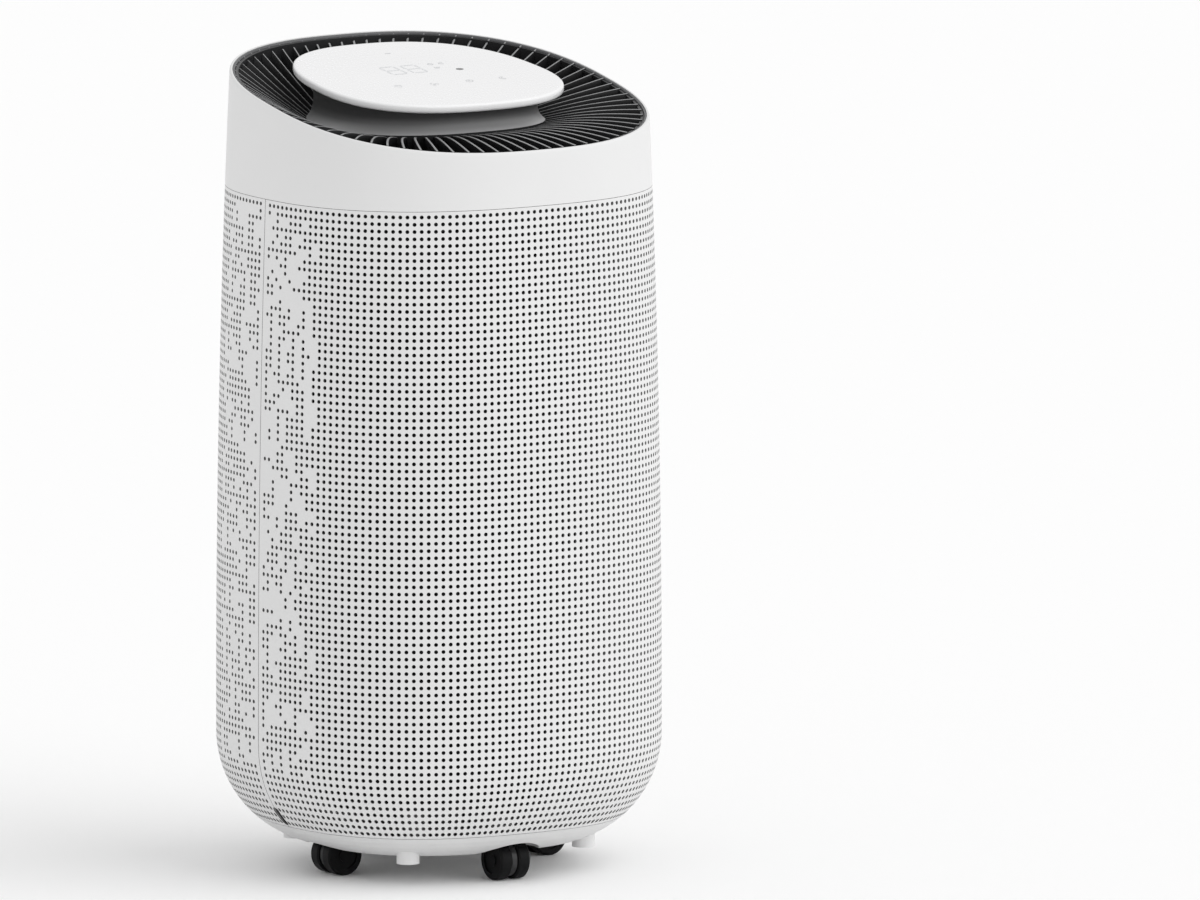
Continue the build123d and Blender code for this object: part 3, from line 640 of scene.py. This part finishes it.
rings = [cov(16.0, -POD_T), cov(3.0, -POD_T), cov(2.0, -POD_T + 0.12)]
for t in (20, 40, 60, 80):
    a = math.radians(t)
    rings.append(cov(2.0 * (1 - math.sin(a)), -POD_T + 0.12 + 2.3 * (1 - math.cos(a))))
rings += [cov(0.0, -2.6), cov(0.0, -1.9)]
for t in (18, 36, 54, 72, 90):
    a = math.radians(t)
    rings.append(cov(1.9 * (1 - math.cos(a)), -1.9 + 1.9 * math.sin(a)))
rings += [cov(4.0, 0.0), cov(20.0, 0.0), cov(45.0, 0.0), cov(70.0, 0.0)]
cover = rings_mesh("pod_cover_skin", rings, M["white_gloss"], close_last=True, flat_from=40)
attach(cover, "main")
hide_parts("pod_cover")


# marks inlaid in the cover: thin flat shapes just above its surface
def pod_top(x, y, lift=0.05):
    return (x * MM, y * MM, (POD_Z + POD_K * y + lift) * MM)


def mark_mesh(name, polys, mat):
    v, f = [], []
    for p in polys:
        b = len(v)
        v += [pod_top(x, y) for x, y in p]
        f.append(tuple(range(b, b + len(p))))
    o = make_obj(name, v, f, mat, False)
    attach(o, "main")
    return o


def seg_digit(cx, cy, w, h, t):
    """The seven bars of a digit, all drawn, as an unlit display shows them."""
    g = 0.5
    out = []

    def bar(x0, y0, x1, y1):
        if abs(x1 - x0) > abs(y1 - y0):
            return [(x0 + g, y0), (x0 + g + t / 2, y0 - t / 2), (x1 - g - t / 2, y1 - t / 2), (x1 - g, y1),
                    (x1 - g - t / 2, y1 + t / 2), (x0 + g + t / 2, y0 + t / 2)]
        return [(x0, y0 + g), (x0 + t / 2, y0 + g + t / 2), (x1 + t / 2, y1 - g - t / 2), (x1, y1 - g),
                (x1 - t / 2, y1 - g - t / 2), (x0 - t / 2, y0 + g + t / 2)]

    l, r, bt, m, tp = cx - w / 2, cx + w / 2, cy - h / 2, cy, cy + h / 2
    out += [bar(l, bt, r, bt), bar(l, m, r, m), bar(l, tp, r, tp)]
    out += [bar(l, bt, l, m), bar(l, m, l, tp), bar(r, bt, r, m), bar(r, m, r, tp)]
    return out


def circle(cx, cy, r, n=20, rx=None):
    return [(cx + (rx or r) * math.cos(2 * math.pi * k / n), cy + r * math.sin(2 * math.pi * k / n)) for k in range(n)]


def ring_polys(cx, cy, r, t, n=24, a0=0.0, a1=360.0):
    out = []
    for k in range(n):
        p, q = math.radians(a0 + (a1 - a0) * k / n), math.radians(a0 + (a1 - a0) * (k + 1) / n)
        out.append([(cx + r * math.cos(p), cy + r * math.sin(p)), (cx + (r + t) * math.cos(p), cy + (r + t) * math.sin(p)),
                    (cx + (r + t) * math.cos(q), cy + (r + t) * math.sin(q)), (cx + r * math.cos(q), cy + r * math.sin(q))])
    return out


def from_img(u, v):
    """Place on the pod's top of a point of the view, in view units."""
    cp, sp, ce, se = math.cos(-AZ), math.sin(-AZ), math.cos(EL), math.sin(EL)
    X, V = (u - 439.06), v - 189.88
    k, z0 = POD_K, (POD_Z / 0.7) - 680.2
    y = -(V + z0 * ce + X * sp / cp * se) / (k * ce + sp * sp / cp * se + cp * se)
    return (X + y * sp) / cp * 0.7, y * 0.7


d1 = from_img(391, 70.5)
d2 = from_img(417, 70.5)
dcy = (d1[1] + d2[1]) / 2
dcx = (d1[0] + d2[0]) / 2
mark_mesh("display_digits", seg_digit(dcx - 8.6, dcy, 11.5, 19.0, 1.5) + seg_digit(dcx + 8.6, dcy, 11.5, 19.0, 1.5), M["mark_faint"])
ix, iy = dcx + 27.0, dcy + 7.5
small = ring_polys(ix, iy, 1.5, 0.7, 16) + ring_polys(ix + 9.0, iy, 1.3, 0.7, 16, 30, 330)
small += [[(ix - 2.5, iy - 9), (ix + 2.5, iy - 9), (ix + 2.5, iy - 8.2), (ix - 2.5, iy - 8.2)],
          [(ix - 2.5, iy - 11), (ix + 1.0, iy - 11), (ix + 1.0, iy - 10.2), (ix - 2.5, iy - 10.2)]]
mark_mesh("display_symbols", small, M["mark"])
keys = []
for k, (ku, kv) in enumerate(((399, 87.5), (435, 85.4), (470, 81.8), (503, 78.6))):
    xk, row_y = from_img(ku, kv)
    if k == 0:
        keys += ring_polys(xk, row_y, 2.2, 0.6, 20, 120, 420)
        keys.append([(xk - 0.35, row_y + 0.6), (xk + 0.35, row_y + 0.6), (xk + 0.35, row_y + 3.4), (xk - 0.35, row_y + 3.4)])
    elif k == 1:
        keys.append(circle(xk, row_y, 0.9, 14))
        for a in range(0, 360, 120):
            keys += ring_polys(xk + 1.9 * math.cos(math.radians(a)), row_y + 1.9 * math.sin(math.radians(a)), 0.9, 0.5, 10, a - 70, a + 120)
    elif k == 2:
        keys += ring_polys(xk, row_y, 2.3, 0.5, 20)
        keys.append([(xk - 0.3, row_y), (xk + 0.3, row_y), (xk + 0.3, row_y + 2.0), (xk - 0.3, row_y + 2.0)])
    else:
        keys += ring_polys(xk, row_y, 2.3, 0.6, 16, 60, 300)
        keys += ring_polys(xk + 1.4, row_y, 1.9, 0.4, 16, 100, 260)
mark_mesh("touch_key_symbols", keys, M["mark"])
window = mark_mesh("sensor_window_oval", [circle(31.2, 21.0, 2.3, 28, 3.0)], M["dark_window"])
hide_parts("sensor_window")
ln_y = from_img(388, 53.7)
mark_mesh("rear_dash", [[(ln_y[0] - 2.4, ln_y[1] - 0.5), (ln_y[0] + 2.4, ln_y[1] - 0.5), (ln_y[0] + 2.4, ln_y[1] + 0.5), (ln_y[0] - 2.4, ln_y[1] + 0.5)]], M["mark"])

# ------------------------------------------------------------------ floor and light
fme = bpy.data.meshes.new("floor")
S = 30.0
fme.from_pydata([(-S, -S, 0), (S, -S, 0), (S, S, 0), (-S, S, 0)], [], [(0, 1, 2, 3)])
fmat, fnt, fb = new_mat("floor_mat")
fb.inputs["Base Color"].default_value = (0.97, 0.97, 0.97, 1)
fb.inputs["Roughness"].default_value = 0.9
fb.inputs["Specular IOR Level"].default_value = 0.1
fme.materials.append(fmat)
floor = bpy.data.objects.new("floor", fme)
scene.collection.objects.link(floor)

world = bpy.data.worlds.new("world")
scene.world = world
world.use_nodes = True
bg = world.node_tree.nodes["Background"]
bg.inputs["Color"].default_value = (1.0, 1.0, 1.0, 1)
bg.inputs["Strength"].default_value = 0.81


def sun(name, toward, strength, angle):
    d = bpy.data.lights.new(name, "SUN")
    d.energy = strength
    d.angle = math.radians(angle)
    o = bpy.data.objects.new(name, d)
    scene.collection.objects.link(o)
    o.location = Vector(toward) * 3.0
    o.rotation_mode = "QUATERNION"
    o.rotation_quaternion = Vector(toward).to_track_quat("Z", "Y")
    return o


sun("key", (0.70, -0.80, 0.85), 1.05, 70.0)
